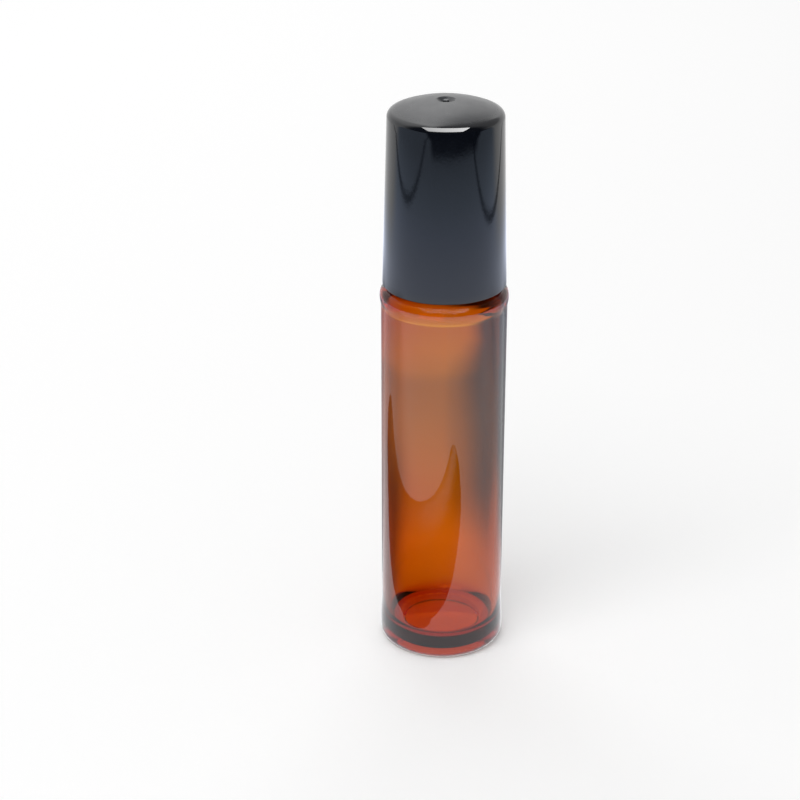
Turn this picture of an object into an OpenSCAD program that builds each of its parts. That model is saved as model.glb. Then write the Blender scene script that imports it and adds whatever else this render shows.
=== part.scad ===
// Roll-on bottle, 10 ml: amber glass bottle with a screw cap over a steel roller ball.
// The bottle stands on Z = 0 with its axis on Z. All lengths are in millimetres.

/* [Glass body] */
// Outer diameter of the glass body at its heel and shoulder
body_d = 19.5; // [18:0.1:26]
// Height from the resting ring to the flat shoulder
body_h = 60.2; // [30:0.1:90]
// Thickness of the side wall
glass_wall = 1.4; // [1:0.05:2.2]
// Thickness of the floor, measured from the resting ring
floor_t = 3; // [2:0.1:5]
// Thickness of the shoulder, measured from the neck's root to the inner slope
shoulder_t = 1.05; // [0.9:0.05:1.8]
// Outer rounding where the wall meets the base
heel_r = 1.4; // [0.6:0.1:2]
// Outer rounding where the wall meets the shoulder
shoulder_r = 1.5; // [0.5:0.1:1.6]
// Depth of the label panel below the heel and shoulder bands
panel_recess = 0.19; // [0.05:0.01:0.3]
// Width of the flat ring that the bottle stands on
bearing_w = 2; // [1:0.1:4]
// Depth of the hollow under the base
punt_depth = 0.7; // [0.3:0.05:1.2]

/* [Glass neck] */
// How much larger the mouth's radius is than the ball's
mouth_over = 0.35; // [0.25:0.01:0.6]
// Wall of the neck between mouth and thread root
neck_wall = 1.2; // [1:0.05:1.6]
// Height of the neck above the shoulder
neck_h = 13.1; // [10.5:0.1:16]

/* [Screw thread] */
// Rise of the thread in one turn
thread_pitch = 3; // [2.6:0.1:3.2]
// Turns of thread on the neck
neck_turns = 1.5; // [1:0.25:1.75]
// Height of the thread's lower end above the shoulder
neck_thread_lift = 4.4; // [3.6:0.1:5.4]
// Turns of thread in the cap
cap_turns = 1.5; // [1:0.25:1.5]
// Height of the thread ridge above its root
thread_depth = 0.7; // [0.4:0.05:0.8]
// Radial clearance between the two threads
thread_gap = 0.15; // [0.1:0.01:0.3]

/* [Roller] */
// Diameter of the steel ball
ball_d = 9.5; // [7.6:0.1:11.4]
// Radial play of the ball in its socket
ball_play = 0.05; // [0.03:0.01:0.1]
// Height of the ball's centre above the mouth
ball_rise = 2.2; // [1.9:0.05:3]
// Height of the socket's lip above the ball's centre
lip_rise = 1.8; // [1.4:0.05:2.2]
// Wall of the socket beside the ball
socket_wall = 1.35; // [0.9:0.05:1.6]
// Length of the plug inside the neck
plug_l = 6.5; // [5.5:0.1:8]
// Radius of the feed hole under the ball
feed_r = 2.8; // [2:0.1:3.2]

/* [Cap] */
// Inward slope of the cap's side, in degrees
cap_draft = 1.5; // [0.5:0.1:2]
// Room between the liner and the middle of the dome
crown_room = 4.8; // [3.5:0.1:9]
// Rise of the dome over the crown's edge
dome_h = 1.9; // [0.8:0.1:2.4]
// Rounding between the side and the dome
crown_r = 1.1; // [0.3:0.05:1.2]
// Wall of the outer shell
shell_wall = 1.1; // [0.8:0.05:1.2]
// Gap between the cap's edge and the glass shoulder
cap_gap = 0.25; // [0.1:0.05:0.5]
// Radius of the moulding pit in the crown
pit_r = 1.4; // [1.2:0.05:1.8]
// Depth of the moulding pit
pit_depth = 0.6; // [0.2:0.05:0.8]

/* [Cap liner] */
// Wall of the liner at its lower edge, outside its thread
liner_wall = 1.04; // [0.9:0.01:1.4]
// Wall of the liner above its thread
liner_upper_wall = 0.95; // [0.7:0.05:1.1]
// Gap between the liner and the shell
liner_gap = 0.05; // [0.03:0.01:0.15]
// Thickness of the liner's top
liner_top_t = 1; // [0.8:0.1:1.4]
// How much smaller the sealing pad's radius is than the ball's
pad_inset = 0.15; // [0:0.05:0.6]
// Thickness of the sealing pad
pad_t = 2; // [1.4:0.1:2.4]

/* [Hidden] */
$fn = 96;
right_angle = 90;
half_turn = 180;
full_turn = 360;
overrun = 1; // how far a cut runs past the face that it opens

// Glass body
body_r = body_d / 2;
panel_r = body_r - panel_recess;
heel_band_h = 1; // height of the band at the heel that stands proud of the label panel
heel_slope_h = 5; // height of the slope from the heel's band to the panel
shoulder_band_h = 0.2; // height of the band at the shoulder
shoulder_slope_h = 1.6; // height of the slope from the shoulder's band to the panel
inner_r = body_r - glass_wall;
inner_heel_r = 2.2; // rounding of the liquid space at the floor
inner_shoulder_full_r = 2; // rounding between the inner wall and the inner slope of the shoulder
shoulder_rise = 30; // rise of the shoulder's inner slope towards the neck, in degrees
floor_rise = 0.4; // rise of the floor at its middle
punt_r = body_r - heel_r - bearing_w; // radius of the hollow under the base
punt_slope = 0.5; // width of the slope round the hollow under the base
floor_shares = [0.75, 0.5, 0.25, 0]; // places on the floor's curve, as shares of its radius
arc_steps = 8; // straight steps in an arc

// Glass neck
ball_r = ball_d / 2;
mouth_r = ball_r + mouth_over;
neck_r = mouth_r + neck_wall;
neck_root_r = 0.8; // rounding where the neck rises from the shoulder
neck_lip_r = 0.4; // rounding of the neck's outer edge at the mouth
mouth_chamfer = 0.25; // chamfer that leads the plug into the mouth
throat_r = 1; // rounding where the mouth opens into the liquid space
slope_room = (inner_r - mouth_r) / (1 - sin(shoulder_rise)); // the most that both roundings may take
inner_shoulder_r = min(inner_shoulder_full_r, slope_room - throat_r);
mouth_z = body_h + neck_h;

// Screw thread
thread_steps = 36; // rings in one turn
ridge_root_w = 1.5; // width of a ridge where it is sunk in its wall
ridge_shoulder_w = 0.85; // width of a ridge at its shoulder
ridge_crest_w = 0.45; // width of a ridge at its crest
ridge_sink = 0.25; // how deep a ridge is sunk in its wall
ridge_shoulder_share = 0.75; // height of the ridge's shoulder, as a share of its depth
ridge_end_share = 0.3; // height of a ridge at its ends, as a share of its depth
ridge_end_angle = 50; // turn over which a ridge grows to its full height
flank_gap = 0.12; // axial gap between the bearing flanks
cap_thread_lead = 1.1; // height of the cap thread's lower end above the liner's edge
neck_thread_z = body_h + neck_thread_lift;
flank_slope = (ridge_root_w - ridge_shoulder_w) / (ridge_sink + thread_depth * ridge_shoulder_share);
flank_w = ridge_root_w - flank_slope * (ridge_sink + (thread_depth + thread_gap) / 2);
neck_thread_top_z = neck_thread_z + neck_turns * thread_pitch + ridge_root_w / 2;
cap_thread_z = neck_thread_z - flank_w - flank_gap; // where both threads are at the same angle

// Roller
ball_z = mouth_z + ball_rise;
socket_r = ball_r + ball_play;
collar_r = socket_r + socket_wall;
collar_round_r = 0.7; // rounding of the collar's upper edge
collar_top_z = ball_z + lip_rise;
plug_gap = 0.1; // gap between the plug and the mouth, beside its ribs
plug_r = mouth_r - plug_gap;
plug_bottom_z = mouth_z - plug_l;
plug_chamfer = 0.5; // chamfer at the plug's lower end
plug_wall = 0.8; // wall of the plug round its hollow
rib_bite = 0.04; // how far a sealing rib presses into the glass
rib_h = 0.6; // height of a sealing rib
rib_count = 3; // sealing ribs on the plug
rib_first_drop = 1.4; // drop of the first rib below the mouth
rib_spacing = 1.4; // distance from one rib to the next
seat_t = 0.9; // thickness of plastic between the ball's seat and the plug's hollow
slot_r = 0.45; // radius of a feed slot at the edge of the feed hole
slot_count = 3; // feed slots round the feed hole

// Cap liner and sealing pad
dimple_depth = 0.6; // depth of the ball's dimple in the pad
pad_gap = 0.05; // gap between the pad and what it touches
pad_r = ball_r - pad_inset;
pad_z = ball_z + ball_r + pad_gap - dimple_depth;
liner_lift = 0.5; // height of the liner's lower edge above the cap's edge
cap_z = body_h + cap_gap;
liner_z = cap_z + liner_lift;
liner_ceiling_z = pad_z + pad_t + pad_gap;
liner_top_z = liner_ceiling_z + liner_top_t;
liner_bore_r = neck_r + thread_depth + thread_gap;
cap_thread_start_z = liner_z + cap_thread_lead;
cap_thread_start = full_turn * (cap_thread_start_z - cap_thread_z) / thread_pitch;
liner_step_gap = 1.6; // height of the liner's step above the neck's thread
liner_step_z = neck_thread_top_z + liner_step_gap;
liner_step_h = 0.8; // height of the slope at the liner's step
liner_chamfer = 0.3; // chamfer at the liner's lower edge
bead_out = 0.2; // how far the snap bead stands out of the liner
bead_h = 1; // height of the snap bead
bead_lift = 1.6; // height of the snap bead above the liner's edge
pad_side_gap = 0.1; // gap round the pad
pad_ring_wall = 0.8; // wall of the ring that holds the pad
pad_ring_hook = 0.25; // how far the ring's hook reaches under the pad
pad_hook_h = 0.3; // height of that hook
key_h = 1; // height of the keys on the liner's top
key_inner_r = 3.6; // where a key starts
key_rim = 0.7; // distance from a key to the liner's side
key_angle = 44; // width of a key, as an angle

// Cap shell
cap_r = liner_bore_r + liner_wall + liner_gap + shell_wall;
draft = tan(cap_draft);
crown_t = 1.4; // thickness of the dome
cap_top_z = liner_top_z + crown_room + crown_t;
dome_edge_z = cap_top_z - dome_h;
cap_top_r = cap_side_r(dome_edge_z);
dome_r = (cap_top_r * cap_top_r + dome_h * dome_h) / (2 * dome_h);
dome_centre_z = cap_top_z - dome_r;
cap_edge_r = 0.25; // rounding of the cap's lower edge
crown_inner_r = 0.4; // rounding inside the shell, where its side meets the dome
dome_steps = 16; // straight steps from the dome's edge to its middle
crown_rib_t = 0.9; // thickness of the ribs under the dome
crown_rib_count = 6;
crown_rib_inner_r = 2.6; // where the ribs start
nub_r = 0.45; // radius of the gate mark in the moulding pit
nub_drop = 0.12; // how far the gate mark stays below the dome
pit_slope = 0.7; // width of the pit's sloping side

function arc(centre, radius, from, to, steps = arc_steps) =
    [for (i = [0 : steps]) let (a = from + (to - from) * i / steps)
        centre + radius * [cos(a), sin(a)]];

// Outer radius of the cap's side at a height
function cap_side_r(z) = cap_r - draft * (z - cap_z);
// Outer radius of the liner at a height
function liner_side_r(z) = cap_side_r(z) - shell_wall - liner_gap;

// Points of the crown, which is a rounding and a dome. The insets are from the cap's outside.
function crown_points(side_inset, dome_inset, round_r) =
    let (
        // the rounding's centre lies a round_r inside the side, and a round_r inside the dome
        reach = dome_r - dome_inset - round_r,
        level_r = cap_side_r(dome_centre_z) - side_inset - round_r / cos(cap_draft),
        slope = 1 + draft * draft,
        rise = (level_r * draft + sqrt(reach * reach * slope - level_r * level_r)) / slope,
        centre = [level_r - draft * rise, dome_centre_z + rise],
        meet = atan2(rise, centre[0])
    )
    concat(
        arc(centre, round_r, cap_draft, meet),
        arc([0, dome_centre_z], dome_r - dome_inset, meet, right_angle, dome_steps)
    );

// A thread ridge. It stands out of a wall by depth, or into the bore where depth is negative.
module thread_ridge(wall_r, depth, start_z, start_angle, turns) {
    side = sign(depth);
    steps = round(turns * thread_steps);
    corner_count = 6; // points of the ridge's outline
    function grown(i) = min(1, ridge_end_share + (1 - ridge_end_share)
        * min(i, steps - i) * full_turn / thread_steps / ridge_end_angle);
    function ring(i) =
        let (
            turn = i / thread_steps,
            a = start_angle + full_turn * turn,
            z = start_z + thread_pitch * (start_angle / full_turn + turn),
            crest = depth * grown(i),
            outline = [
                [-side * ridge_sink, -ridge_root_w / 2],
                [crest * ridge_shoulder_share, -ridge_shoulder_w / 2],
                [crest, -ridge_crest_w / 2],
                [crest, ridge_crest_w / 2],
                [crest * ridge_shoulder_share, ridge_shoulder_w / 2],
                [-side * ridge_sink, ridge_root_w / 2]
            ]
        )
        [for (p = side > 0 ? outline : [for (k = [corner_count - 1 : -1 : 0]) outline[k]])
            [(wall_r + p[0]) * cos(a), (wall_r + p[0]) * sin(a), z + p[1]]];
    points = [for (i = [0 : steps]) each ring(i)];
    end = steps * corner_count;
    faces = concat(
        [for (i = [0 : steps - 1], k = [0 : corner_count - 1])
            let (a = i * corner_count + k, b = i * corner_count + (k + 1) % corner_count)
            each [[a, b, a + corner_count], [b, b + corner_count, a + corner_count]]],
        [for (k = [1 : corner_count - 2]) [0, k + 1, k]],
        [for (k = [1 : corner_count - 2]) [end, end + k, end + k + 1]]
    );
    polyhedron(points, faces);
}

// Height on the inner slope of the shoulder, or on a line parallel to it, that lies set_in below it
function slope_z(r, set_in = 0) =
    let (
        root = [neck_r + neck_root_r, body_h + neck_root_r],
        reach = neck_root_r + shoulder_t + set_in
    )
    root[1] - (reach + sin(shoulder_rise) * (r - root[0])) / cos(shoulder_rise);

// Outside of the glass, from the middle of the base to the edge of the mouth
function glass_outside() = concat(
    [[0, punt_depth], [punt_r - punt_slope, punt_depth], [punt_r, 0]],
    arc([body_r - heel_r, heel_r], heel_r, -right_angle, 0),
    [
        [body_r, heel_r + heel_band_h],
        [panel_r, heel_r + heel_band_h + heel_slope_h],
        [panel_r, body_h - shoulder_r - shoulder_band_h - shoulder_slope_h],
        [body_r, body_h - shoulder_r - shoulder_band_h]
    ],
    arc([body_r - shoulder_r, body_h - shoulder_r], shoulder_r, 0, right_angle),
    arc([neck_r + neck_root_r, body_h + neck_root_r], neck_root_r, 3 * right_angle, half_turn),
    arc([neck_r - neck_lip_r, mouth_z - neck_lip_r], neck_lip_r, 0, right_angle)
);

// Inside of the glass, from the edge of the mouth to the middle of the floor
function glass_inside() = concat(
    [[mouth_r + mouth_chamfer, mouth_z], [mouth_r, mouth_z - mouth_chamfer]],
    arc([mouth_r + throat_r, slope_z(mouth_r + throat_r, -throat_r)], throat_r, half_turn,
        3 * right_angle - shoulder_rise),
    arc([inner_r - inner_shoulder_r, slope_z(inner_r - inner_shoulder_r, inner_shoulder_r)],
        inner_shoulder_r, right_angle - shoulder_rise, 0),
    arc([inner_r - inner_heel_r, floor_t + inner_heel_r], inner_heel_r, 0, -right_angle),
    [for (s = floor_shares)
        [s * (inner_r - inner_heel_r), floor_t + floor_rise * (1 - s * s)]]
);

module glass_bottle() {
    color([0.62, 0.27, 0.05])
    union() {
        rotate_extrude() polygon(concat(glass_outside(), glass_inside()));
        thread_ridge(neck_r, thread_depth, neck_thread_z, 0, neck_turns);
    }
}

// Side of the plug with its sealing ribs, from the mouth down
function plug_side() = concat(
    [[plug_r, mouth_z]],
    [for (i = [0 : rib_count - 1]) let (z = mouth_z - rib_first_drop - i * rib_spacing)
        each [[plug_r, z + rib_h / 2], [mouth_r + rib_bite, z], [plug_r, z - rib_h / 2]]],
    [[plug_r, plug_bottom_z + plug_chamfer], [plug_r - plug_chamfer, plug_bottom_z]]
);

module roller_housing() {
    seat_drop = sqrt(socket_r * socket_r - feed_r * feed_r);
    hollow_r = plug_r - plug_wall;
    hollow_top_z = ball_z - seat_drop - seat_t;
    color([0.93, 0.93, 0.9])
    difference() {
        rotate_extrude() polygon(concat(
            [[0, collar_top_z]],
            [[0, plug_bottom_z]],
            [for (i = [len(plug_side()) - 1 : -1 : 0]) plug_side()[i]],
            [[collar_r, mouth_z]],
            arc([collar_r - collar_round_r, collar_top_z - collar_round_r], collar_round_r, 0,
                right_angle)
        ));
        translate([0, 0, ball_z]) sphere(r = socket_r);
        translate([0, 0, plug_bottom_z - overrun]) cylinder(r = feed_r, h = ball_z - plug_bottom_z);
        rotate_extrude() polygon([
            [0, plug_bottom_z - overrun],
            [hollow_r, plug_bottom_z - overrun],
            [hollow_r, hollow_top_z - (hollow_r - feed_r)],
            [feed_r, hollow_top_z],
            [0, hollow_top_z]
        ]);
        for (i = [0 : slot_count - 1])
            rotate([0, 0, i * full_turn / slot_count])
                translate([feed_r, 0, plug_bottom_z])
                    cylinder(r = slot_r, h = ball_z - plug_bottom_z - seat_drop + seat_t);
    }
}

module roller_ball() {
    color([0.75, 0.76, 0.78])
    translate([0, 0, ball_z]) sphere(r = ball_r);
}

module seal_pad() {
    color([0.9, 0.9, 0.88])
    difference() {
        translate([0, 0, pad_z]) cylinder(r = pad_r, h = pad_t);
        translate([0, 0, ball_z]) sphere(r = ball_r + pad_gap);
    }
}

// Inside of the liner, from its lower edge to the middle of its ceiling
function liner_inside() =
    let (
        top_r = liner_side_r(liner_top_z) - liner_upper_wall,
        ring_r = pad_r + pad_side_gap,
        hook_z = pad_z - pad_gap
    )
    [
        [liner_bore_r + liner_chamfer, liner_z],
        [liner_bore_r, liner_z + liner_chamfer],
        [liner_bore_r, liner_step_z],
        [top_r, liner_step_z + liner_step_h],
        [top_r, liner_ceiling_z],
        [ring_r + pad_ring_wall, liner_ceiling_z],
        [ring_r + pad_ring_wall, hook_z - pad_hook_h],
        [pad_r, hook_z - pad_hook_h],
        [pad_r - pad_ring_hook, hook_z],
        [ring_r, hook_z],
        [ring_r, liner_ceiling_z],
        [0, liner_ceiling_z]
    ];

// Outside of the liner, from the middle of its top to its lower edge
function liner_outside() =
    let (bead_z = liner_z + bead_lift, bead_r = liner_side_r(bead_z) + bead_out)
    [
        [0, liner_top_z],
        [liner_side_r(liner_top_z), liner_top_z],
        [liner_side_r(bead_z + bead_h), bead_z + bead_h],
        [bead_r, bead_z + bead_h / 2],
        [liner_side_r(bead_z), bead_z],
        [liner_side_r(liner_z), liner_z]
    ];

// Keys on the liner's top, which lie between the shell's ribs
module liner_keys() {
    spacing = full_turn / crown_rib_count;
    key_outer_r = liner_side_r(liner_top_z) - key_rim;
    for (i = [0 : crown_rib_count - 1])
        rotate([0, 0, i * spacing + (spacing - key_angle) / 2])
            rotate_extrude(angle = key_angle)
                translate([key_inner_r, liner_top_z - liner_top_t / 2])
                    square([key_outer_r - key_inner_r, key_h + liner_top_t / 2]);
}

module cap_liner() {
    color([0.12, 0.12, 0.13])
    union() {
        rotate_extrude() polygon(concat(liner_inside(), liner_outside()));
        liner_keys();
        thread_ridge(liner_bore_r, -thread_depth, cap_thread_z, cap_thread_start, cap_turns);
    }
}

// Hollow of the shell: the liner's seat with its snap groove, and the space under the dome
function shell_hollow() =
    let (
        groove_z = liner_z + bead_lift,
        groove_r = cap_side_r(groove_z) - shell_wall + bead_out,
        seat_r = cap_side_r(cap_z) - shell_wall
    )
    concat(
        [
            [0, cap_z - overrun],
            [seat_r + draft * overrun, cap_z - overrun],
            [cap_side_r(groove_z - liner_gap) - shell_wall, groove_z - liner_gap],
            [groove_r, groove_z + bead_h / 2],
            [cap_side_r(groove_z + bead_h + liner_gap) - shell_wall, groove_z + bead_h + liner_gap]
        ],
        crown_points(shell_wall, crown_t, crown_inner_r)
    );

// Ribs under the dome that hold the liner down
module crown_ribs() {
    for (i = [0 : crown_rib_count - 1])
        rotate([0, 0, i * full_turn / crown_rib_count])
            translate([crown_rib_inner_r, -crown_rib_t / 2, liner_top_z + liner_gap])
                cube([cap_r, crown_rib_t, cap_top_z - liner_top_z]);
}

module cap_shell() {
    dome_at_nub_z = dome_centre_z + sqrt(dome_r * dome_r - nub_r * nub_r);
    pit_floor_z = cap_top_z - pit_depth;
    color([0.05, 0.05, 0.06])
    difference() {
        rotate_extrude() polygon(concat(
            [[0, cap_z]],
            arc([cap_r - cap_edge_r, cap_z + cap_edge_r], cap_edge_r, -right_angle, cap_draft),
            crown_points(0, 0, crown_r)
        ));
        difference() {
            rotate_extrude() polygon(shell_hollow());
            crown_ribs();
        }
        rotate_extrude() polygon([
            [nub_r, pit_floor_z],
            [pit_r - pit_slope, pit_floor_z],
            [pit_r + pit_slope * overrun / pit_depth, cap_top_z + overrun],
            [0, cap_top_z + overrun],
            [0, dome_at_nub_z - nub_drop],
            [nub_r, dome_at_nub_z - nub_drop]
        ]);
    }
}

glass_bottle();
roller_housing();
roller_ball();
seal_pad();
cap_liner();
cap_shell();
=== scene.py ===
"""Looks of the roll-on bottle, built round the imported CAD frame. Lengths of shapes are in millimetres."""
import math

import bmesh
import bpy
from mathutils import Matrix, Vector


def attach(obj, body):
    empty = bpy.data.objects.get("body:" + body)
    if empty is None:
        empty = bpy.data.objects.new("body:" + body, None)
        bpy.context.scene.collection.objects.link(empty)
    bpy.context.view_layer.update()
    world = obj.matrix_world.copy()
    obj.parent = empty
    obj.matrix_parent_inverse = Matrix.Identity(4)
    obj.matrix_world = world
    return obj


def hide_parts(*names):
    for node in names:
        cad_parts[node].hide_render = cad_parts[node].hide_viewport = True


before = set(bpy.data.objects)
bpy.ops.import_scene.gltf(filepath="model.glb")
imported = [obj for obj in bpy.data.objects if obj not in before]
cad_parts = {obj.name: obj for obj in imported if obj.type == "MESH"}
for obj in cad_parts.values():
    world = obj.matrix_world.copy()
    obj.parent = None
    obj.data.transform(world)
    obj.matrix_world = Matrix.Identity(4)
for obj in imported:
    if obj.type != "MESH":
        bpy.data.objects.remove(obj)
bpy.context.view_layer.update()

MM = 0.001
FULL_TURN = 360.0
SEGMENTS = 256  # round every piece
ARC_STEPS = 14
FINE_STEPS = 6  # in a small rounding
SLOPE_STEPS = 12
SPHERE_STEPS = 96
SOCKET_STEPS = 40
DIMPLE_STEPS = 24
DOME_STEPS = 48
SIDE_ROWS = 24  # along the cap's side
PANEL_ROWS = 40  # along the glass, outside
WALL_ROWS = 60  # along the glass, inside
THREAD_ROWS_PER_MM = 9
SHARP_ANGLE = 35.0  # an edge with a sharper turn stays sharp

# Glass body, as in the CAD part
BODY_R = 9.75
BODY_H = 60.2
GLASS_WALL = 1.4
THIN_BY = 0.3  # the wall gets thinner by this much towards the shoulder
THIN_FROM_Z = 16.0
THIN_TO_Z = 36.0
WALL_WAVES = ((2, 0.9, 0.05, 0.035), (3, 0.0, 0.21, 0.02))  # waves round, start, twist by height, depth
WAVE_FADE_SHARE = 1 / 6  # of the wall's height, at either end
FLOOR_T = 3.0
SHOULDER_T = 0.85
HEEL_R = 1.4
SHOULDER_R = 1.5
PANEL_RECESS = 0.19
HEEL_BAND_H = 1.0
HEEL_SLOPE_H = 5.0
SHOULDER_BAND_H = 0.2
SHOULDER_SLOPE_H = 1.6
PUNT_R = 6.35
PUNT_DEPTH = 0.7
PUNT_SLOPE = 0.5
INNER_HEEL_R = 2.2
INNER_SHOULDER_R = 2.0
SHOULDER_RISE = 30.0  # slope of the shoulder's inside, in degrees
FLOOR_RISE = 0.4
FLOOR_SHARES = (0.8, 0.6, 0.4, 0.2, 0.0)  # places on the floor, from its edge to its middle
SHOULDER_HIGHLIGHT_DIM = (SHOULDER_R, 0.8 * SHOULDER_R)  # below the shoulder's top, where painted shade starts to dim its reflection and hide the highlight
PANEL_R = BODY_R - PANEL_RECESS
INNER_R = BODY_R - GLASS_WALL

# Neck and thread
MOUTH_R = 5.1
NECK_R = 6.3
NECK_H = 13.1
MOUTH_Z = BODY_H + NECK_H
NECK_ROOT_R = 0.8
NECK_LIP_R = 0.4
MOUTH_CHAMFER = 0.25
THROAT_R = 1.0
PITCH = 3.0
THREAD_DEPTH = 0.7
THREAD_GAP = 0.15
NECK_THREAD_Z = BODY_H + 4.4
THREAD_TURNS = 1.5
CREST_HALF_W = 0.225
SHOULDER_HALF_W = 0.425
ROOT_HALF_W = 0.645
SHOULDER_SHARE = 0.75
THREAD_GROW_ANGLE = 50.0
THREAD_END_SHARE = 0.3  # a thread's height at its ends
THREAD_END_ANGLE = 6.0  # over which the end runs out
CAP_THREAD_Z = NECK_THREAD_Z - 1.054  # under the neck's thread, where both are at the same angle
CAP_THREAD_START = -179.5

# Roller
BALL_R = 4.75
BALL_Z = MOUTH_Z + 2.2
SOCKET_GAP = 0.05
SOCKET_WALL = 1.35
SOCKET_R = BALL_R + SOCKET_GAP
COLLAR_R = SOCKET_R + SOCKET_WALL
COLLAR_ROUND_R = 0.7
COLLAR_TOP_Z = BALL_Z + 1.8
PLUG_R = MOUTH_R - 0.1
PLUG_BOTTOM_Z = MOUTH_Z - 6.5
PLUG_CHAMFER = 0.5
PLUG_WALL = 0.8
RIB_BITE = 0.04
RIB_H = 0.6
RIB_DROPS = (1.4, 2.8, 4.2)
SEAT_T = 0.9
FEED_R = 2.8

# Cap
CAP_Z = BODY_H + 0.25
CAP_R = 9.34
CAP_DRAFT = 1.5  # degrees
DOME_H = 1.9
CROWN_R = 1.1
SATIN_RISE = (0.1, 0.6)  # above the dome's edge, where gloss turns to satin
CROWN_ROOM = 4.8  # between the liner and the dome
CROWN_T = 1.4
CROWN_INNER_R = 0.4
SHELL_WALL = 1.1
SHELL_EDGE_R = 0.25
PIT_R = 1.4
PIT_DEPTH = 0.6
PIT_SLOPE = 0.7
NUB_R = 0.45
NUB_DROP = 0.12
PIT_SOFT = 0.1  # softens the edges of the pit and its nub
LINER_Z = CAP_Z + 0.5
LINER_GAP = 0.05
LINER_UPPER_WALL = 0.95
LINER_TOP_T = 1.0
LINER_BORE_R = NECK_R + THREAD_DEPTH + THREAD_GAP
LINER_STEP_Z = NECK_THREAD_Z + THREAD_TURNS * PITCH + 2.35  # above the neck's thread
LINER_STEP_H = 0.8
LINER_CHAMFER = 0.3
BEAD_LIFT = 1.6
BEAD_OUT = 0.2
BEAD_H = 1.0
PAD_R = 4.6
PAD_T = 2.0
PAD_GAP = 0.05
PAD_EDGE_R = 0.15
PAD_RING_R = PAD_R + 0.1
PAD_RING_WALL = 0.8
PAD_HOOK = 0.25  # how far the ring's hook reaches under the pad
PAD_HOOK_H = 0.3
DIMPLE_DEPTH = 0.6
PAD_Z = BALL_Z + BALL_R + PAD_GAP - DIMPLE_DEPTH
LINER_CEILING_Z = PAD_Z + PAD_T + PAD_GAP
LINER_TOP_Z = LINER_CEILING_Z + LINER_TOP_T
CAP_TOP_Z = LINER_TOP_Z + CROWN_ROOM + CROWN_T

# Camera
CAMERA_PLACE = (0.0, -0.28976, 0.17606)
CAMERA_YAW = -1.319
CAMERA_PITCH = 25.014  # downwards
CAMERA_LENS = 93.17
CAMERA_SENSOR = 36.0

# Room. Each rise is (start, end, value before, value after) along a part of the direction.
SOFT_LIGHT = 0.45
FRONT_DARK = (-0.4, 0.1, 0.03, 1.0)  # along Y
BACKDROP_TOP = (0.74, 0.9, 1.0, 0.1)  # along Z, through the glass
BACKDROP_LEFT = (-0.42, -0.22, 0.1, 1.0)  # along X, through the glass
BACKDROP_RIGHT = (0.0, 0.3, 1.0, 0.1)
CEILING_RISE = (0.2, 0.85, 0.0, 2.0)  # along Z, in reflections
CEILING_SLANT = 1.2  # the share of Z in the slant, beside X
CEILING_END = (0.92, 1.14, 1.0, 0.0)  # along the slant
CEILING_MIDDLE = -0.05
CEILING_SIDES = (0.08, 0.35, 1.0, 0.35)  # away from the middle along X
HORIZON_END = (0.92, 1.17, 1.1, 0.6)  # along the slant

# Table in reflections, in metres: a painted reflection, as the floor glows with these shades only for
# reflected rays, with painted shadow near the object. Its shades stand at shares of TABLE_REACH, by the
# distance from the middle.
TABLE_REACH = 0.4
TABLE_LEVEL = 2.0
TABLE_SHADES = (
    (0.12, (0.72, 0.72, 0.74)),
    (0.24, (0.84, 0.84, 0.87)),
    (0.465, (0.62, 0.68, 0.84)),
    (0.58, (0.45, 0.52, 0.68)),
    (0.65, (0.34, 0.41, 0.52)),
    (0.775, (0.21, 0.25, 0.31)),
)
SIDE_EDGES = ((-77.0, 0.255), (96.0, 0.232))  # azimuth and distance of the left and right edge
EDGE_LINE = (0.002, 0.008, 0.2, 1.0)  # away from an edge
FRONT_AZIMUTH = 18.0
FRONT_EDGE = (0.208, 0.244, 0.0, 0.97)
FRONT_REACH = (0.305, 0.315)
FAR_SHADE = (0.52, 0.52, 0.52)
FAR_Y = (0.03, 0.12)
FAR_REACH = (0.17, 0.24)
# Painted shadow of the object on the table in reflections: dimmer close to the object, behind it and to its
# left and right.
NEAR_REACH = (0.14, 0.19, 1.0, 0.0)
NEAR_BEHIND = (0.7, 0.85, 0.0, 0.6)  # along Y as a share of the distance
NEAR_LEFT_X = (-0.08, -0.02, 0.45, 0.0)
NEAR_LEFT_Y = (-0.05, 0.0)
NEAR_RIGHT_X = (0.0, 0.04, 0.0, 0.3)
NEAR_RIGHT_Y = (-0.03, 0.02)

# Table seen through the glass, in metres: painted shadow, as the floor glows with these shades only for rays
# through glass. Its shades stand at shares of TABLE_REACH, along Y.
SHADOW_SHADES = (
    (0.04, (0.8, 0.8, 0.8)),
    (0.075, (1.0, 1.0, 1.0)),
    (0.107, (0.7, 0.7, 0.7)),
    (0.14, (0.63, 0.63, 0.63)),
    (0.205, (0.465, 0.465, 0.465)),
    (0.24, (0.42, 0.42, 0.42)),
    (0.27, (0.57, 0.57, 0.57)),
    (0.3, (0.68, 0.68, 0.68)),
    (0.4, (0.66, 0.66, 0.66)),
    (0.46, (1.0, 1.7, 1.5)),
    (0.55, (0.85, 1.2, 1.15)),
)
# Painted shade on the table to the right and the left, seen through the glass.
DARK_RIGHT_X = (-0.003, 0.015)
DARK_RIGHT_Y = (0.005, 0.05, 0.0, 0.98)
DARK_RIGHT_MOVES = ((0.02, 0.055, 0.003, 0.0), (0.1, 0.14, 0.0, 0.012), (0.19, 0.33, 0.0, 0.035))  # along Y
DARK_LEFT_X = (-0.017, -0.007, 0.7, 0.0)
DARK_LEFT_Y = (0.035, 0.085, 1.0, 0.0)

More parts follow.
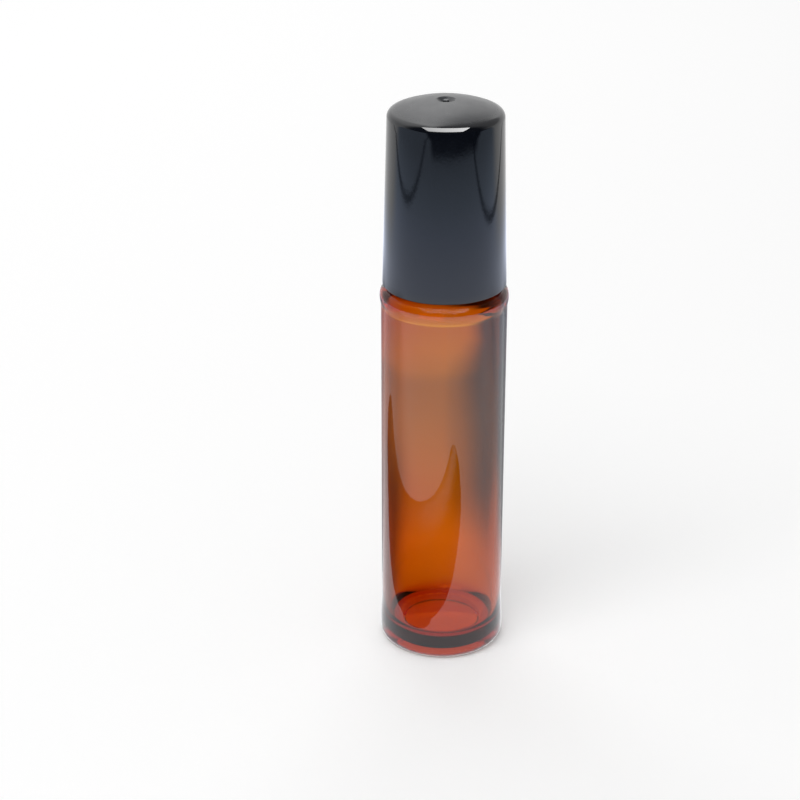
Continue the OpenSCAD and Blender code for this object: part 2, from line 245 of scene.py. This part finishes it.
# Floor, lights and studio pieces, in metres
FLOOR_SIZE = 4.0
FLOOR_DROP = 0.00002
FLOOR_COLOUR = (0.86, 0.86, 0.86, 1)
FLOOR_GLOW = 0.2  # to the camera only
LIGHTS = (
    ("key", (-0.25, -0.4, 0.75), (0.6, 0.4), 3.0),
    ("back", (-0.1, 0.6, 0.6), (0.8, 0.4), 2.0),
)
LIGHT_TARGET = (0.0, 0.0, 0.05)
STUDIO_BLACK = (0.01, 0.01, 0.01, 1)
CARD_PLACE = (0.0, -0.669, 0.829)
CARD_SIZE = (1.4, 1.13)
CARD_GLOW = (10.0, 17.0)  # at its left and right edge
# A dark roll that only reflections show: a painted dark reflection beside the bottle.
ROLL_START = (-0.0557, 0.0187, 0.00975)
ROLL_END = (0.0156, -0.0435, 0.00975)
ROLL_R = 0.00975
ROLL_SEGMENTS = 96


def arc(centre, radius, start, end, steps=ARC_STEPS):
    """Points (radius, height) on a round stretch, with the angles in degrees."""
    points = []
    for i in range(steps + 1):
        a = math.radians(start + (end - start) * i / steps)
        points.append((centre[0] + radius * math.cos(a), centre[1] + radius * math.sin(a)))
    return points


def rows(start, end, count):
    """Evenly spaced points between two points, without the two."""
    return [(start[0] + (end[0] - start[0]) * i / count, start[1] + (end[1] - start[1]) * i / count)
            for i in range(1, count)]


def slope(start, end):
    """Points between a band's edge and a panel, on a curve that runs level into both."""
    points = []
    for i in range(1, SLOPE_STEPS):
        share = i / SLOPE_STEPS
        eased = share * share * (3 - 2 * share)
        points.append((start[0] + (end[0] - start[0]) * eased, start[1] + (end[1] - start[1]) * share))
    return points


def link_new(name, bm):
    """A new object in the scene, with a mesh made from bm."""
    mesh = bpy.data.meshes.new(name)
    bm.to_mesh(mesh)
    bm.free()
    obj = bpy.data.objects.new(name, mesh)
    bpy.context.scene.collection.objects.link(obj)
    return obj


def lathe(name, outline, closed=False, shape=None):
    """A smooth mesh revolved from an outline of (radius, height).
    An open outline starts and ends on the axis. shape(index, radius, height, angle) may move a point."""
    bm = bmesh.new()
    rings = []
    for i, (r, z) in enumerate(outline):
        if r < 1e-6:
            rings.append([bm.verts.new((0, 0, z * MM))])
            continue
        ring = []
        for k in range(SEGMENTS):
            angle = FULL_TURN * k / SEGMENTS
            pr, pz = shape(i, r, z, angle) if shape else (r, z)
            a = math.radians(angle)
            ring.append(bm.verts.new((pr * math.cos(a) * MM, pr * math.sin(a) * MM, pz * MM)))
        rings.append(ring)
    pairs = list(zip(rings, rings[1:])) + ([(rings[-1], rings[0])] if closed else [])
    for low, high in pairs:
        for k in range(SEGMENTS):
            n = (k + 1) % SEGMENTS
            if len(low) == 1:
                bm.faces.new((low[0], high[n], high[k]))
            elif len(high) == 1:
                bm.faces.new((low[k], low[n], high[0]))
            else:
                bm.faces.new((low[k], low[n], high[n], high[k]))
    bmesh.ops.recalc_face_normals(bm, faces=bm.faces)
    for face in bm.faces:
        face.smooth = True
    obj = link_new(name, bm)
    obj.data.set_sharp_from_angle(angle=math.radians(SHARP_ANGLE))
    return obj


def ridge_height(z, angle, start_z, start_angle):
    """How far the helical thread stands out at a place on its wall."""
    best = 0.0
    for turn in range(-1, 3):
        along = angle + FULL_TURN * turn - start_angle
        to_end = min(along, THREAD_TURNS * FULL_TURN - along)
        if to_end < -THREAD_END_ANGLE:
            continue
        if to_end > 0:
            grown = min(1.0, THREAD_END_SHARE + (1 - THREAD_END_SHARE) * to_end / THREAD_GROW_ANGLE)
        else:
            grown = THREAD_END_SHARE * (1 + to_end / THREAD_END_ANGLE)
        off = abs(z - start_z - PITCH * (angle + FULL_TURN * turn) / FULL_TURN)
        if off < CREST_HALF_W:
            share = 1.0
        elif off < SHOULDER_HALF_W:
            share = 1 - (1 - SHOULDER_SHARE) * (off - CREST_HALF_W) / (SHOULDER_HALF_W - CREST_HALF_W)
        elif off < ROOT_HALF_W:
            share = SHOULDER_SHARE * (ROOT_HALF_W - off) / (ROOT_HALF_W - SHOULDER_HALF_W)
        else:
            share = 0.0
        best = max(best, THREAD_DEPTH * grown * share)
    return best


def slope_z(r, set_in):
    """Height of a line parallel to the shoulder's inner slope, set_in below it, at a radius."""
    rise = math.radians(SHOULDER_RISE)
    reach = NECK_ROOT_R + SHOULDER_T + set_in
    return BODY_H + NECK_ROOT_R - (reach + math.sin(rise) * (r - NECK_R - NECK_ROOT_R)) / math.cos(rise)


def make_glass():
    outside = [(0, PUNT_DEPTH), (PUNT_R - PUNT_SLOPE, PUNT_DEPTH), (PUNT_R, 0)]
    outside += arc((BODY_R - HEEL_R, HEEL_R), HEEL_R, -90, 0)
    band_top = HEEL_R + HEEL_BAND_H
    band_low = BODY_H - SHOULDER_R - SHOULDER_BAND_H
    low = (PANEL_R, band_top + HEEL_SLOPE_H)
    high = (PANEL_R, band_low - SHOULDER_SLOPE_H)
    outside += [(BODY_R, band_top)]
    outside += slope((BODY_R, band_top), low)
    outside += [low]
    outside += rows(low, high, PANEL_ROWS)
    outside += [high]
    outside += slope((BODY_R, band_low), high)[::-1]
    outside += [(BODY_R, band_low)]
    outside += arc((BODY_R - SHOULDER_R, BODY_H - SHOULDER_R), SHOULDER_R, 0, 90)
    outside += arc((NECK_R + NECK_ROOT_R, BODY_H + NECK_ROOT_R), NECK_ROOT_R, 270, 180)
    first = len(outside)
    bottom = (NECK_R, BODY_H + NECK_ROOT_R)
    top = (NECK_R, MOUTH_Z - NECK_LIP_R)
    outside += rows(bottom, top, round((top[1] - bottom[1]) * THREAD_ROWS_PER_MM))
    last = len(outside)
    outside += arc((NECK_R - NECK_LIP_R, MOUTH_Z - NECK_LIP_R), NECK_LIP_R, 0, 90)
    inside = [(MOUTH_R + MOUTH_CHAMFER, MOUTH_Z), (MOUTH_R, MOUTH_Z - MOUTH_CHAMFER)]
    throat_z = slope_z(MOUTH_R + THROAT_R, -THROAT_R)
    inside += arc((MOUTH_R + THROAT_R, throat_z), THROAT_R, 180, 270 - SHOULDER_RISE)
    wall_top = (INNER_R, slope_z(INNER_R - INNER_SHOULDER_R, INNER_SHOULDER_R))
    inside += arc((INNER_R - INNER_SHOULDER_R, wall_top[1]), INNER_SHOULDER_R, 90 - SHOULDER_RISE, 0)
    wall_bottom = (INNER_R, FLOOR_T + INNER_HEEL_R)
    wall_first = len(outside) + len(inside)
    inside += rows(wall_top, wall_bottom, WALL_ROWS)
    wall_last = len(outside) + len(inside)
    inside += arc((INNER_R - INNER_HEEL_R, FLOOR_T + INNER_HEEL_R), INNER_HEEL_R, 0, -90)
    for share in FLOOR_SHARES:
        inside.append((share * (INNER_R - INNER_HEEL_R), FLOOR_T + FLOOR_RISE * (1 - share * share)))

    def shape(i, r, z, angle):
        if first <= i < last:
            return r + ridge_height(z, angle, NECK_THREAD_Z, 0.0), z
        if wall_first <= i < wall_last:
            a = math.radians(angle)
            share = (z - wall_bottom[1]) / (wall_top[1] - wall_bottom[1])
            fade = min(1.0, share / WAVE_FADE_SHARE, (1 - share) / WAVE_FADE_SHARE)
            wave = 0.0
            for count, start, twist, depth in WALL_WAVES:
                wave += depth * math.sin(count * a + start + twist * z)
            up = min(1.0, max(0.0, (z - THIN_FROM_Z) / (THIN_TO_Z - THIN_FROM_Z)))
            thinner = THIN_BY * up * up * (3 - 2 * up)
            return r + fade * (wave + thinner), z
        return r, z

    return lathe("glass_body", outside + inside, shape=shape)


def make_housing():
    seat_drop = math.sqrt(SOCKET_R ** 2 - FEED_R ** 2)
    hollow_r = PLUG_R - PLUG_WALL
    hollow_top = BALL_Z - seat_drop - SEAT_T
    lip_angle = math.degrees(math.asin((COLLAR_TOP_Z - BALL_Z) / SOCKET_R))
    seat_angle = -math.degrees(math.acos(FEED_R / SOCKET_R))
    outline = [(hollow_r, PLUG_BOTTOM_Z), (PLUG_R - PLUG_CHAMFER, PLUG_BOTTOM_Z)]
    outline += [(PLUG_R, PLUG_BOTTOM_Z + PLUG_CHAMFER)]
    for drop in reversed(RIB_DROPS):
        z = MOUTH_Z - drop
        outline += [(PLUG_R, z - RIB_H / 2), (MOUTH_R + RIB_BITE, z), (PLUG_R, z + RIB_H / 2)]
    outline += [(PLUG_R, MOUTH_Z), (COLLAR_R, MOUTH_Z)]
    outline += arc((COLLAR_R - COLLAR_ROUND_R, COLLAR_TOP_Z - COLLAR_ROUND_R), COLLAR_ROUND_R, 0, 90)
    outline += arc((0, BALL_Z), SOCKET_R, lip_angle, seat_angle, SOCKET_STEPS)
    outline += [(FEED_R, hollow_top), (hollow_r, hollow_top - (hollow_r - FEED_R))]
    return lathe("ball_housing", outline, closed=True)


def make_ball():
    outline = arc((0, BALL_Z), BALL_R, -90, 90, SPHERE_STEPS)
    outline[0] = (0, outline[0][1])
    outline[-1] = (0, outline[-1][1])
    return lathe("steel_ball", outline)


def make_pad():
    gap_r = BALL_R + PAD_GAP
    dimple_r = math.sqrt(gap_r ** 2 - (PAD_Z - BALL_Z) ** 2)
    dimple_angle = math.degrees(math.acos(dimple_r / gap_r))
    outline = arc((0, BALL_Z), gap_r, 90, dimple_angle, DIMPLE_STEPS)
    outline[0] = (0, outline[0][1])
    outline += arc((PAD_R - PAD_EDGE_R, PAD_Z + PAD_EDGE_R), PAD_EDGE_R, -90, 0, FINE_STEPS)
    outline += arc((PAD_R - PAD_EDGE_R, PAD_Z + PAD_T - PAD_EDGE_R), PAD_EDGE_R, 0, 90, FINE_STEPS)
    outline += [(0, PAD_Z + PAD_T)]
    return lathe("sealing_pad", outline)


def side_r(z):
    """The cap's outer radius at a height."""
    return CAP_R - math.tan(math.radians(CAP_DRAFT)) * (z - CAP_Z)


def crown(side_inset, dome_inset, round_r):
    """The crown's rounding and its dome, set in from the cap's outside, and the dome's centre and radius."""
    top_r = side_r(CAP_TOP_Z - DOME_H)
    dome_r = (top_r ** 2 + DOME_H ** 2) / (2 * DOME_H)
    centre_z = CAP_TOP_Z - dome_r
    draft = math.tan(math.radians(CAP_DRAFT))
    reach = dome_r - dome_inset - round_r
    level_r = side_r(centre_z) - side_inset - round_r / math.cos(math.radians(CAP_DRAFT))
    scale = 1 + draft ** 2
    rise = (level_r * draft + math.sqrt(reach ** 2 * scale - level_r ** 2)) / scale
    centre = (level_r - draft * rise, centre_z + rise)
    meet = math.degrees(math.atan2(rise, centre[0]))
    points = arc(centre, round_r, CAP_DRAFT, meet)
    dome = arc((0, centre_z), dome_r - dome_inset, meet, 90, DOME_STEPS)
    return points + dome[1:-1], centre_z, dome_r


def pit(lip_z, nub_z):
    """The pit in the dome's middle with the nub on its floor, from its lip inwards."""
    floor_z = CAP_TOP_Z - PIT_DEPTH
    foot_r = PIT_R - PIT_SLOPE
    points = [(PIT_R + 0.5 * PIT_SOFT, lip_z - 0.06 * PIT_SOFT)]
    points += [(PIT_R - 0.2 * PIT_SOFT, lip_z - 0.4 * PIT_SOFT)]
    points += [(foot_r + 0.5 * PIT_SOFT, floor_z + 0.4 * PIT_SOFT), (foot_r - 0.4 * PIT_SOFT, floor_z)]
    points += [(NUB_R + 0.6 * PIT_SOFT, floor_z), (NUB_R, floor_z + 0.6 * PIT_SOFT)]
    points += [(NUB_R - 0.2 * PIT_SOFT, nub_z - 0.6 * PIT_SOFT), (NUB_R - PIT_SOFT, nub_z)]
    return points


def make_shell():
    points, centre_z, dome_r = crown(0, 0, CROWN_R)
    outside = arc((CAP_R - SHELL_EDGE_R, CAP_Z + SHELL_EDGE_R), SHELL_EDGE_R, -90, CAP_DRAFT)
    outside += rows(outside[-1], points[0], SIDE_ROWS)
    outside += [point for point in points if point[0] > PIT_R + PIT_SOFT]
    nub_z = centre_z + dome_r - NUB_DROP
    outside += pit(centre_z + math.sqrt(dome_r ** 2 - PIT_R ** 2), nub_z)
    inside, _, _ = crown(SHELL_WALL, CROWN_T, CROWN_INNER_R)
    outline = [(0, nub_z)] + outside[::-1]
    outline += [(side_r(CAP_Z) - SHELL_WALL, CAP_Z)]
    outline += inside + [(0, CAP_TOP_Z - CROWN_T)]
    return lathe("cap_cover", outline)


def liner_r(z):
    """The liner's outer radius at a height."""
    return side_r(z) - SHELL_WALL - LINER_GAP


def make_liner():
    top_r = liner_r(LINER_TOP_Z) - LINER_UPPER_WALL
    ring_outer_r = PAD_RING_R + PAD_RING_WALL
    hook_z = PAD_Z - PAD_GAP
    ring_z = hook_z - PAD_HOOK_H
    outline = [(0, LINER_CEILING_Z), (PAD_RING_R, LINER_CEILING_Z), (PAD_RING_R, hook_z)]
    outline += [(PAD_R - PAD_HOOK, hook_z), (PAD_R, ring_z), (ring_outer_r, ring_z)]
    outline += [(ring_outer_r, LINER_CEILING_Z), (top_r, LINER_CEILING_Z)]
    high = (LINER_BORE_R, LINER_STEP_Z)
    low = (LINER_BORE_R, LINER_Z + LINER_CHAMFER)
    outline += [(top_r, LINER_STEP_Z + LINER_STEP_H), high]
    first = len(outline)
    outline += rows(high, low, round((high[1] - low[1]) * THREAD_ROWS_PER_MM))
    last = len(outline)
    outline += [low, (LINER_BORE_R + LINER_CHAMFER, LINER_Z), (liner_r(LINER_Z), LINER_Z)]
    bead_z = LINER_Z + BEAD_LIFT
    bead_top = bead_z + BEAD_H
    outline += [(liner_r(bead_z), bead_z), (liner_r(bead_z) + BEAD_OUT, bead_z + BEAD_H / 2)]
    outline += [(liner_r(bead_top), bead_top), (liner_r(LINER_TOP_Z), LINER_TOP_Z), (0, LINER_TOP_Z)]

    def shape(i, r, z, angle):
        if first <= i < last:
            return r - ridge_height(z, angle, CAP_THREAD_Z, CAP_THREAD_START), z
        return r, z

    return lathe("threaded_liner", outline, shape=shape)


class Tree:
    """A node tree, with short calls to add and link nodes."""

    def __init__(self, tree):
        self.tree = tree

    def put(self, value, socket):
        if isinstance(value, bpy.types.NodeSocket):
            self.tree.links.new(value, socket)
        else:
            socket.default_value = value

    def add(self, kind, settings=(), **inputs):
        node = self.tree.nodes.new("ShaderNode" + kind)
        for key, value in dict(settings).items():
            setattr(node, key, value)
        for key, value in inputs.items():
            self.put(value, node.inputs[key.replace("_", " ")])
        return node

    def maths(self, operation, *values):
        node = self.add("Math", {"operation": operation})
        for value, socket in zip(values, node.inputs):
            self.put(value, socket)
        return node.outputs[0]

    def rise(self, source, start, end, low=0.0, high=1.0):
        """low before start and high after end, with a smooth rise between."""
        return self.add("MapRange", {"interpolation_type": "SMOOTHSTEP"}, Value=source, From_Min=start,
                        From_Max=end, To_Min=low, To_Max=high).outputs["Result"]

    def ramp(self, source, low, high, start=0.3, end=0.7):
        return self.add("MapRange", Value=source, From_Min=start, From_Max=end, To_Min=low,
                        To_Max=high).outputs["Result"]

    def stops(self, source, *stops):
        """The colour at a place from 0 to 1, between stops of (place, colour)."""
        node = self.add("ValToRGB", Fac=source)
        elements = node.color_ramp.elements
        elements.remove(elements[1])
        for i, (place, colour) in enumerate(stops):
            element = elements.new(place) if i else elements[0]
            element.position = place
            element.color = (*colour, 1)
        return node.outputs["Color"]

    def axes(self, point):
        return self.add("SeparateXYZ", Vector=point).outputs

    def blend(self, source, first, second):
        mix = self.add("Mix", {"data_type": "RGBA"})
        self.put(source, mix.inputs["Factor"])
        for value, socket in ((first, mix.inputs[6]), (second, mix.inputs[7])):
            self.put((*value, 1) if isinstance(value, tuple) else value, socket)
        return mix.outputs[2]


class Material(Tree):
    """A material with one Principled shader."""

    def __init__(self, name):
        self.material = bpy.data.materials.new(name)
        self.material.use_nodes = True
        super().__init__(self.material.node_tree)
        self.tree.nodes.clear()
        self.out = self.add("OutputMaterial")
        self.shader = self.add("BsdfPrincipled")
        self.put(self.shader.outputs["BSDF"], self.out.inputs["Surface"])
        self.place = self.add("TexCoord").outputs["Object"]

    def set(self, **inputs):
        for key, value in inputs.items():
            self.put(value, self.shader.inputs[key.replace("_", " ")])

    def noise(self, scale, detail=3.0):
        return self.add("TexNoise", Vector=self.place, Scale=scale, Detail=detail).outputs["Fac"]

    def bump(self, source, strength, distance):
        return self.add("Bump", Height=source, Strength=strength, Distance=distance).outputs["Normal"]


def amber_glass():
    m = Material("amber_glass")
    m.set(Base_Color=(1, 1, 1, 1), Transmission_Weight=1.0, IOR=1.52)
    highlight_dim = m.rise(m.axes(m.place)["Z"], *[(BODY_H - drop) * MM for drop in SHOULDER_HIGHLIGHT_DIM])
    # Painted shade on the glass's shoulder: the specular tint darkens there so that no highlight shows.
    m.set(Specular_Tint=m.blend(highlight_dim, (1.0, 1.0, 1.0), (0.08, 0.08, 0.08)))
    m.set(Roughness=m.ramp(m.noise(400), 0.0, 0.02))
    m.set(Normal=m.bump(m.noise(90, 2.0), 0.25, 0.00006))
    volume = m.add("VolumeAbsorption", Color=(0.928, 0.698, 0.05, 1), Density=2900.0)
    m.put(volume.outputs["Volume"], m.out.inputs["Volume"])
    return m.material


def black_gloss():
    m = Material("black_gloss")
    height = m.axes(m.place)["Z"]
    satin = m.rise(height, *[(CAP_TOP_Z - DOME_H + up) * MM for up in SATIN_RISE])
    grain = m.noise(700, 4.0)
    gloss = m.ramp(grain, 0.035, 0.06)
    brushed = m.ramp(grain, 0.27, 0.34)
    rough = m.add("Mix", Factor=satin)
    m.put(gloss, rough.inputs[2])
    m.put(brushed, rough.inputs[3])
    m.set(Base_Color=m.blend(m.noise(300, 4.0), (0.0025, 0.0035, 0.006), (0.0045, 0.0055, 0.009)))
    m.set(Roughness=rough.outputs[0], IOR=1.5)
    m.set(Normal=m.bump(m.noise(2500, 3.0), 0.06, 0.00002))
    return m.material


def liner_plastic():
    m = Material("liner_plastic")
    m.set(Base_Color=m.blend(m.noise(400), (0.03, 0.03, 0.033), (0.05, 0.05, 0.055)))
    m.set(Roughness=m.ramp(m.noise(900), 0.38, 0.5))
    m.set(Normal=m.bump(m.noise(3000), 0.2, 0.00003))
    return m.material


def natural_plastic():
    m = Material("natural_plastic")
    m.set(Base_Color=m.blend(m.noise(300), (0.82, 0.82, 0.79), (0.9, 0.9, 0.87)))
    m.set(Roughness=m.ramp(m.noise(800), 0.3, 0.42))
    m.set(Normal=m.bump(m.noise(2200), 0.15, 0.00003))
    m.set(Subsurface_Weight=0.35, Subsurface_Radius=(0.0012, 0.0012, 0.001), Subsurface_Scale=1.0)
    return m.material


def polished_steel():
    m = Material("polished_steel")
    m.set(Metallic=1.0)
    m.set(Base_Color=m.blend(m.noise(260), (0.66, 0.66, 0.67), (0.74, 0.74, 0.75)))
    m.set(Roughness=m.ramp(m.noise(1400, 6.0), 0.05, 0.12))
    m.set(Normal=m.bump(m.noise(4000, 4.0), 0.06, 0.00001))
    return m.material


def seal_foam():
    m = Material("seal_foam")
    cells = m.add("TexVoronoi", Vector=m.place, Scale=5000.0).outputs["Distance"]
    m.set(Base_Color=m.blend(m.noise(900), (0.82, 0.82, 0.79), (0.92, 0.92, 0.9)))
    m.set(Roughness=0.7, Normal=m.bump(cells, 0.5, 0.00006))
    return m.material


def dress(piece, body, node, material):
    piece.data.materials.append(material)
    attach(piece, body)
    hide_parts(node)


def make_camera():
    data = bpy.data.cameras.new("camera")
    data.lens = CAMERA_LENS
    data.sensor_width = CAMERA_SENSOR
    camera = bpy.data.objects.new("camera", data)
    yaw = math.radians(CAMERA_YAW)
    pitch = math.radians(CAMERA_PITCH)
    look = Vector((math.sin(yaw) * math.cos(pitch), math.cos(yaw) * math.cos(pitch), -math.sin(pitch)))
    camera.location = CAMERA_PLACE
    camera.rotation_euler = look.to_track_quat("-Z", "Y").to_euler()
    bpy.context.scene.collection.objects.link(camera)
    bpy.context.scene.camera = camera


def ray_kinds(t):
    """1 or 0 for rays from the camera, for rays off a glossy surface, and for rays through glass."""
    path = t.add("LightPath").outputs
    through = path["Is Transmission Ray"]
    off = t.maths("MAXIMUM", t.maths("SUBTRACT", path["Is Glossy Ray"], through), 0.0)
    return path["Is Camera Ray"], off, through


def ceiling(t, axes):
    """The room in reflections: an even horizon, and a soft bright patch of ceiling that ends on the right."""
    slant = t.maths("MULTIPLY_ADD", axes["Z"], CEILING_SLANT, axes["X"])
    patch = t.maths("MULTIPLY", t.rise(axes["Z"], *CEILING_RISE), t.rise(slant, *CEILING_END))
    aside = t.maths("ABSOLUTE", t.maths("SUBTRACT", axes["X"], CEILING_MIDDLE))
    patch = t.maths("MULTIPLY", patch, t.rise(aside, *CEILING_SIDES))
    return t.maths("ADD", patch, t.rise(slant, *HORIZON_END))


def backdrop(t, axes):
    """The room through the glass: white, and dark at the top and to the sides."""
    sides = t.maths("MULTIPLY", t.rise(axes["X"], *BACKDROP_LEFT), t.rise(axes["X"], *BACKDROP_RIGHT))
    return t.maths("MULTIPLY", t.rise(axes["Z"], *BACKDROP_TOP), sides)


def make_world():
    """A white room, dark in front. It is even for soft light, and white to the camera."""
    world = bpy.data.worlds.new("studio")
    bpy.context.scene.world = world
    world.use_nodes = True
    t = Tree(world.node_tree)
    camera, off, through = ray_kinds(t)
    axes = t.axes(t.add("TexCoord").outputs["Generated"])
    behind = t.rise(axes["Y"], *FRONT_DARK)
    rest = t.maths("SUBTRACT", t.maths("SUBTRACT", t.maths("SUBTRACT", 1.0, camera), off), through)
    strength = t.maths("MULTIPLY_ADD", rest, SOFT_LIGHT, camera)
    for share, room in ((off, ceiling(t, axes)), (through, backdrop(t, axes))):
        strength = t.maths("MULTIPLY_ADD", share, t.maths("MULTIPLY", room, behind), strength)
    back = t.tree.nodes["Background"]
    t.put((1, 1, 1, 1), back.inputs["Color"])
    t.put(strength, back.inputs["Strength"])


def towards(t, axes, azimuth):
    """How far a place on the table lies from the middle, towards an azimuth that is 0 in front."""
    a = math.radians(azimuth)
    return t.maths("MULTIPLY_ADD", axes["Y"], -math.cos(a), t.maths("MULTIPLY", axes["X"], math.sin(a)))


def table_off(t, axes):
    """The table in reflections, painted as a glow of the floor: a painted pool of light near the object that
    fades outwards, dark in front past its edge, and painted shadow close round the object.
    """
    flat = t.add("CombineXYZ", X=axes["X"], Y=axes["Y"]).outputs["Vector"]
    length = t.add("VectorMath", {"operation": "LENGTH"})
    t.put(flat, length.inputs[0])
    reach = length.outputs["Value"]
    shade = t.stops(t.maths("DIVIDE", reach, TABLE_REACH), *TABLE_SHADES)
    forward = towards(t, axes, FRONT_AZIMUTH)
    gap = t.maths("MULTIPLY", t.rise(reach, *FRONT_REACH), t.rise(forward, *FRONT_EDGE))
    lit = t.maths("SUBTRACT", 1.0, gap)
    for azimuth, distance in SIDE_EDGES:
        off_edge = t.maths("ABSOLUTE", t.maths("SUBTRACT", towards(t, axes, azimuth), distance))
        lit = t.maths("MULTIPLY", lit, t.rise(off_edge, *EDGE_LINE))
    far = t.maths("MULTIPLY", t.rise(axes["Y"], *FAR_Y), t.rise(reach, *FAR_REACH))
    shade = t.blend(far, shade, FAR_SHADE)
    near = t.rise(reach, *NEAR_REACH)
    behind = t.rise(t.maths("DIVIDE", axes["Y"], reach), *NEAR_BEHIND)
    left = t.maths("MULTIPLY", t.rise(axes["X"], *NEAR_LEFT_X), t.rise(axes["Y"], *NEAR_LEFT_Y))
    right = t.maths("MULTIPLY", t.rise(axes["X"], *NEAR_RIGHT_X), t.rise(axes["Y"], *NEAR_RIGHT_Y))
    # painted shadow of the object, close behind it and to its left and right
    for dim in (behind, left, right):
        lit = t.maths("MULTIPLY", lit, t.maths("SUBTRACT", 1.0, t.maths("MULTIPLY", near, dim)))
    return shade, t.maths("MULTIPLY", lit, TABLE_LEVEL)


def table_through(t, axes):
    """The table seen through the glass, as painted shadow: a soft painted shadow behind, and painted shade on
    the right and on the left.
    """
    shade = t.stops(t.maths("DIVIDE", axes["Y"], TABLE_REACH), *SHADOW_SHADES)
    place = axes["X"]
    for move in DARK_RIGHT_MOVES:
        place = t.maths("SUBTRACT", place, t.rise(axes["Y"], *move))
    right = t.maths("MULTIPLY", t.rise(place, *DARK_RIGHT_X), t.rise(axes["Y"], *DARK_RIGHT_Y))
    left = t.maths("MULTIPLY", t.rise(axes["X"], *DARK_LEFT_X), t.rise(axes["Y"], *DARK_LEFT_Y))
    return shade, t.maths("MULTIPLY", t.maths("SUBTRACT", 1.0, right), t.maths("SUBTRACT", 1.0, left))


def square(name, side):
    """A flat square in the scene."""
    bm = bmesh.new()
    bmesh.ops.create_grid(bm, x_segments=1, y_segments=1, size=side / 2)
    return link_new(name, bm)


def make_floor():
    floor = square("floor", FLOOR_SIZE)
    floor.location.z = -FLOOR_DROP
    m = Material("floor_white")
    camera, off, through = ray_kinds(m)
    m.set(Base_Color=FLOOR_COLOUR, Roughness=1.0, Specular_IOR_Level=0.0)
    m.set(Emission_Color=(1, 1, 1, 1), Emission_Strength=m.maths("MULTIPLY", camera, FLOOR_GLOW))
    axes = m.axes(m.place)
    surface = m.shader.outputs["BSDF"]
    # For reflected rays the floor glows with a painted reflection of the table, and for rays through glass
    # with painted shadow.
    for share, (colour, strength) in ((off, table_off(m, axes)), (through, table_through(m, axes))):
        glow = m.add("Emission", Color=colour, Strength=strength)
        mix = m.add("MixShader", Fac=share)
        m.put(surface, mix.inputs[1])
        m.put(glow.outputs["Emission"], mix.inputs[2])
        surface = mix.outputs["Shader"]
    m.put(surface, m.out.inputs["Surface"])
    floor.data.materials.append(m.material)


def only_in_gloss(obj, material):
    """Makes a studio piece that only reflections show."""
    obj.data.materials.append(material.material)
    obj.visible_camera = False
    obj.visible_diffuse = False
    obj.visible_transmission = False
    obj.visible_volume_scatter = False
    obj.visible_shadow = False


def make_card():
    """A bright card above and in front that faces the cap, for the highlight on its rim."""
    card = square("highlight_card", 1.0)
    card.scale = (*CARD_SIZE, 1.0)
    card.location = CARD_PLACE
    towards_cap = Vector((0, 0, CAP_TOP_Z * MM)) - Vector(CARD_PLACE)
    card.rotation_euler = towards_cap.to_track_quat("Z", "Y").to_euler()
    m = Material(card.name)
    across = m.axes(m.add("NewGeometry").outputs["Position"])["X"]
    m.set(Base_Color=STUDIO_BLACK, Roughness=0.5, Emission_Color=(1, 1, 1, 1))
    m.set(Emission_Strength=m.ramp(across, *CARD_GLOW, -CARD_SIZE[0] / 2, CARD_SIZE[0] / 2))
    only_in_gloss(card, m)


def make_dark_roll():
    """A dark roll beside the bottle that only reflections show: a painted dark reflection, which keeps the
    table's glare off the glass there.
    """
    start = Vector(ROLL_START)
    end = Vector(ROLL_END)
    bm = bmesh.new()
    bmesh.ops.create_cone(bm, cap_ends=True, segments=ROLL_SEGMENTS, radius1=ROLL_R, radius2=ROLL_R,
                          depth=(end - start).length)
    roll = link_new("dark_roll", bm)
    roll.location = (start + end) / 2
    roll.rotation_euler = (end - start).to_track_quat("Z", "Y").to_euler()
    m = Material(roll.name)
    m.set(Base_Color=STUDIO_BLACK, Roughness=0.5)
    only_in_gloss(roll, m)


def make_light(name, place, size, power):
    data = bpy.data.lights.new(name, "AREA")
    data.shape = "RECTANGLE"
    data.size, data.size_y = size
    data.energy = power
    light = bpy.data.objects.new(name, data)
    light.location = place
    light.rotation_euler = (Vector(LIGHT_TARGET) - Vector(place)).to_track_quat("-Z", "Y").to_euler()
    light.visible_glossy = False
    bpy.context.scene.collection.objects.link(light)


make_camera()
dress(make_glass(), "bottle", "glass_bottle", amber_glass())
dress(make_housing(), "bottle", "roller_housing", natural_plastic())
dress(make_ball(), "ball", "roller_ball", polished_steel())
dress(make_pad(), "seal", "seal_pad", seal_foam())
dress(make_liner(), "cap", "cap_liner", liner_plastic())
dress(make_shell(), "cap", "cap_shell", black_gloss())
make_floor()
make_card()
make_dark_roll()
make_world()
for light in LIGHTS:
    make_light(*light)
bpy.context.scene.view_settings.view_transform = "Standard"
